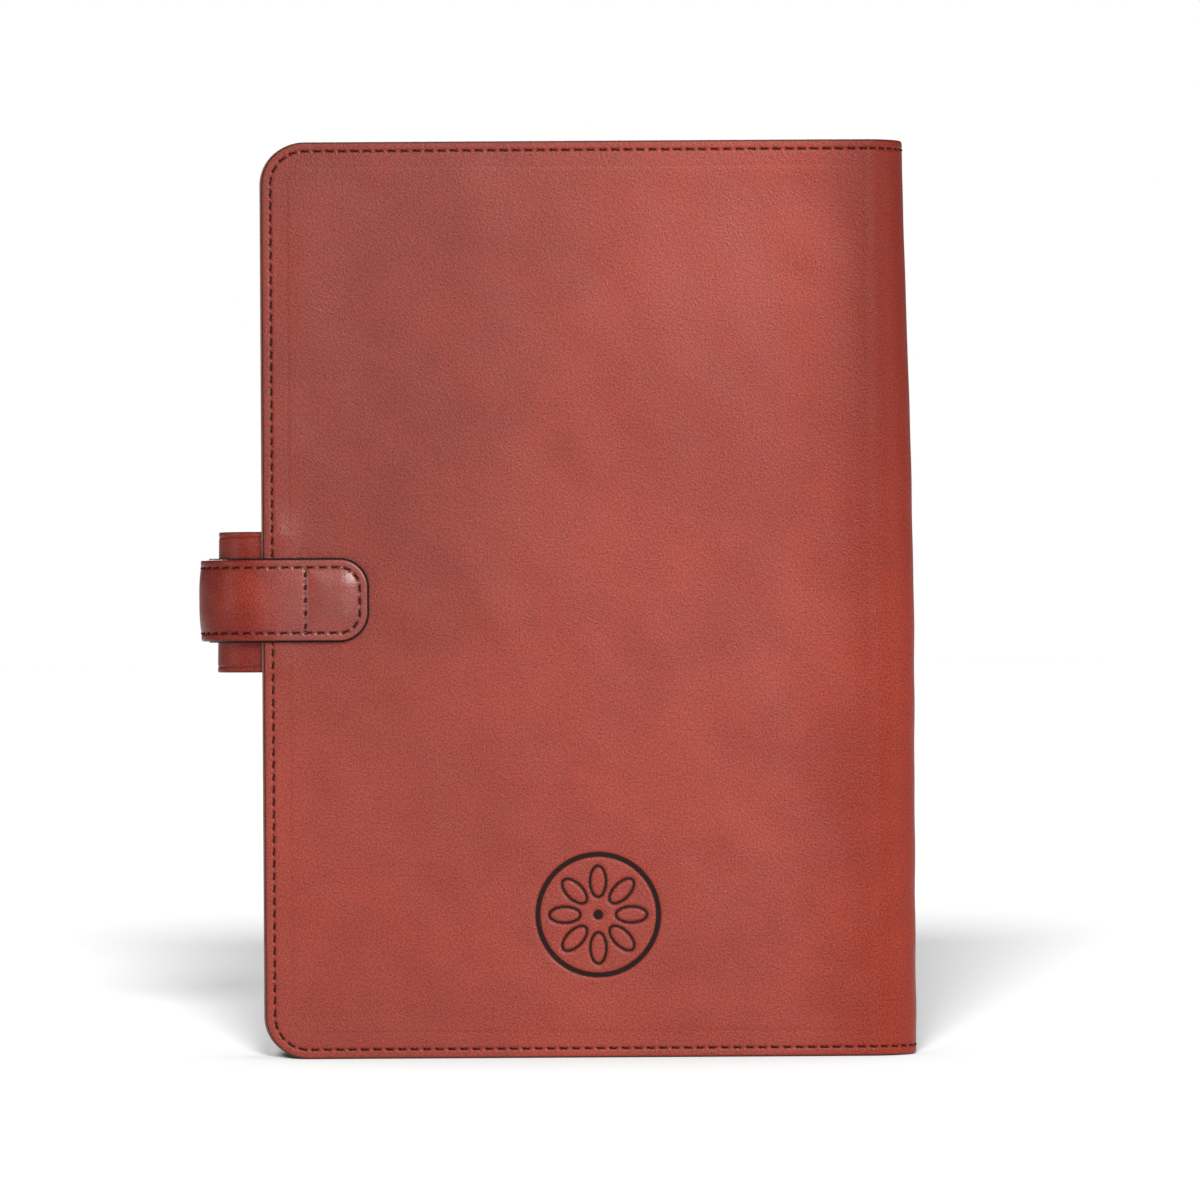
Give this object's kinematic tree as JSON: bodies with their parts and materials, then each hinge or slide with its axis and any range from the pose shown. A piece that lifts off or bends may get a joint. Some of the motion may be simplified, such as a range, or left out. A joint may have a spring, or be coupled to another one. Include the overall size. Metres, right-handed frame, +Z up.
{
  "type": "leather notebook cover",
  "caption": "A5 leather notebook cover with a rounded spine, a wrap-round strap closed by a press stud, a pen loop, inner pockets and a refill pad.",
  "frame": {"origin": "on the bottom edge of the back cover's outer face, midway between the free edge and the spine's outermost line", "axes": "+Z up the spine, +X towards the spine, +Y from the back cover to the front cover"},
  "size_m": [0.1752, 0.0329, 0.225],
  "materials": {
    "cover_leather": "smooth waxed full-grain leather, chestnut red-brown",
    "strap_leather": "smooth leather with a soft gloss",
    "strap_backing": "matt leather",
    "loop_leather": "smooth leather with a soft gloss",
    "lining": "fine matt leather",
    "inner_leather": "smooth leather",
    "board": "matt grey-brown board",
    "paper": "matt ivory paper",
    "top_card": "matt dark card",
    "tape": "woven book cloth",
    "snap_metal": "antique brass, satin"
  },
  "bodies": {
    "back_cover": {"back_leather": "cover_leather", "back_stiffener": "board", "back_lining": "lining", "back_sleeve": "inner_leather", "pen_loop": "loop_leather", "strap_root_leather": "strap_leather", "strap_root_backing": "strap_backing", "refill_board": "board", "page_block": "paper", "refill_top_card": "top_card", "binding_tape": "tape"},
    "spine_strip_1": {"spine_leather_1": "cover_leather", "spine_lining_1": "lining"},
    "spine_strip_2": {"spine_leather_2": "cover_leather", "spine_lining_2": "lining"},
    "spine_strip_3": {"spine_leather_3": "cover_leather", "spine_lining_3": "lining"},
    "front_cover": {"front_leather": "cover_leather", "front_stiffener": "board", "front_lining": "lining", "front_pocket": "inner_leather", "card_slot_upper": "inner_leather", "card_slot_lower": "inner_leather", "snap_stud": "snap_metal", "snap_post": "snap_metal"},
    "strap_strip_1": {"strap_leather_1": "strap_leather", "strap_backing_1": "strap_backing"},
    "strap_strip_2": {"strap_leather_2": "strap_leather", "strap_backing_2": "strap_backing"},
    "strap_strip_3": {"strap_leather_3": "strap_leather", "strap_backing_3": "strap_backing"},
    "strap_tip": {"strap_tip_leather": "strap_leather", "strap_tip_backing": "strap_backing", "snap_cap": "snap_metal", "snap_socket": "snap_metal"}
  },
  "joints": [
    {"name": "spine_fold_1", "type": "hinge", "parent": "back_cover", "child": "spine_strip_1", "pos_m": [0.07259, 0.00091, 0.1125], "axis": [0, 0, -1], "range_deg": [0, 45]},
    {"name": "spine_fold_2", "type": "hinge", "parent": "spine_strip_1", "child": "spine_strip_2", "pos_m": [0.07909, 0.00741, 0.1125], "axis": [0, 0, -1], "range_deg": [0, 45]},
    {"name": "spine_fold_3", "type": "hinge", "parent": "spine_strip_2", "child": "spine_strip_3", "pos_m": [0.07909, 0.01659, 0.1125], "axis": [0, 0, -1], "range_deg": [0, 45]},
    {"name": "cover_open", "type": "hinge", "parent": "spine_strip_3", "child": "front_cover", "pos_m": [0.07259, 0.02309, 0.1125], "axis": [0, 0, -1], "range_deg": [0, 45]},
    {"name": "strap_fold_1", "type": "hinge", "parent": "back_cover", "child": "strap_strip_1", "pos_m": [-0.08554, -0.00101, 0.1122], "axis": [0, 0, 1], "range_deg": [0, 45]},
    {"name": "strap_fold_2", "type": "hinge", "parent": "strap_strip_1", "child": "strap_strip_2", "pos_m": [-0.09401, 0.00746, 0.1122], "axis": [0, 0, 1], "range_deg": [0, 45]},
    {"name": "strap_fold_3", "type": "hinge", "parent": "strap_strip_2", "child": "strap_strip_3", "pos_m": [-0.09401, 0.01944, 0.1122], "axis": [0, 0, 1], "range_deg": [0, 45]},
    {"name": "strap_open", "type": "hinge", "parent": "strap_strip_3", "child": "strap_tip", "pos_m": [-0.08554, 0.02791, 0.1122], "axis": [0, 0, 1], "range_deg": [0, 45]}
  ],
  "couplings": [
    {"joint": "spine_fold_1", "follows": "cover_open", "ratio": 1},
    {"joint": "spine_fold_2", "follows": "cover_open", "ratio": 1},
    {"joint": "spine_fold_3", "follows": "cover_open", "ratio": 1},
    {"joint": "strap_fold_1", "follows": "strap_open", "ratio": 1},
    {"joint": "strap_fold_2", "follows": "strap_open", "ratio": 1},
    {"joint": "strap_fold_3", "follows": "strap_open", "ratio": 1}
  ]
}
